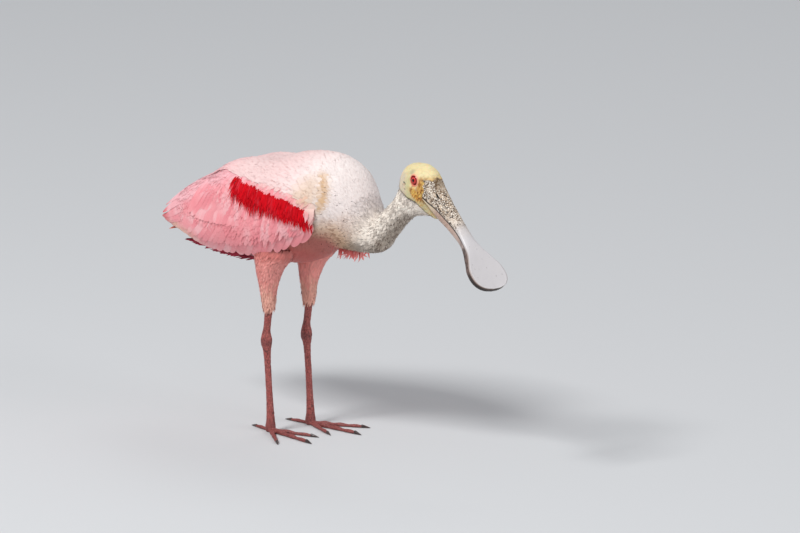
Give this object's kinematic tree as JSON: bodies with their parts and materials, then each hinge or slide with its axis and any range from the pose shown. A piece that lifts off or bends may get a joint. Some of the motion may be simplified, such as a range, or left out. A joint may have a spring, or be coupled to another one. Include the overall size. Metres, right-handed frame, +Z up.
{
  "type": "roseate spoonbill",
  "caption": "Roseate spoonbill, life size, standing on both feet and leaning down with its bill lowered to feed",
  "frame": {"origin": "on the floor, midway along the bird's length and midway between its two sides", "axes": "+X the way the bird faces, +Y to its left, +Z up"},
  "size_m": [0.6481, 0.1556, 0.3897],
  "materials": {
    "pale_pink_feathers": "soft overlapping feathers, pale pinkish white",
    "off_white_feathers": "short curly off-white feathers with grey-beige mottling",
    "pink_feathers": "smooth pink feathers with a carmine stripe along the forearm",
    "orange_tail_feathers": "smooth orange-salmon feathers",
    "bare_head_skin": "bare wrinkled skin, yellow-green, orange round the eye",
    "bill_horn": "grey-beige horn, warty at the root and smooth on the spoon",
    "eye": "wet red eye with a dark pupil",
    "leg_skin": "dark red scaled skin with dark claws"
  },
  "bodies": {
    "root": {"torso": "pale_pink_feathers", "neck_lower": "off_white_feathers", "neck_middle": "off_white_feathers", "neck_upper": "off_white_feathers", "head": "bare_head_skin", "bill_upper": "bill_horn", "bill_lower": "bill_horn", "eye_left": "eye", "eye_right": "eye", "wing_left": "pink_feathers", "wing_right": "pink_feathers", "tail": "orange_tail_feathers", "thigh_left": "pink_feathers", "thigh_right": "pink_feathers", "shank_left": "leg_skin", "shank_right": "leg_skin", "tarsus_left": "leg_skin", "tarsus_right": "leg_skin", "foot_left": "leg_skin", "foot_right": "leg_skin"}
  },
  "joints": []
}
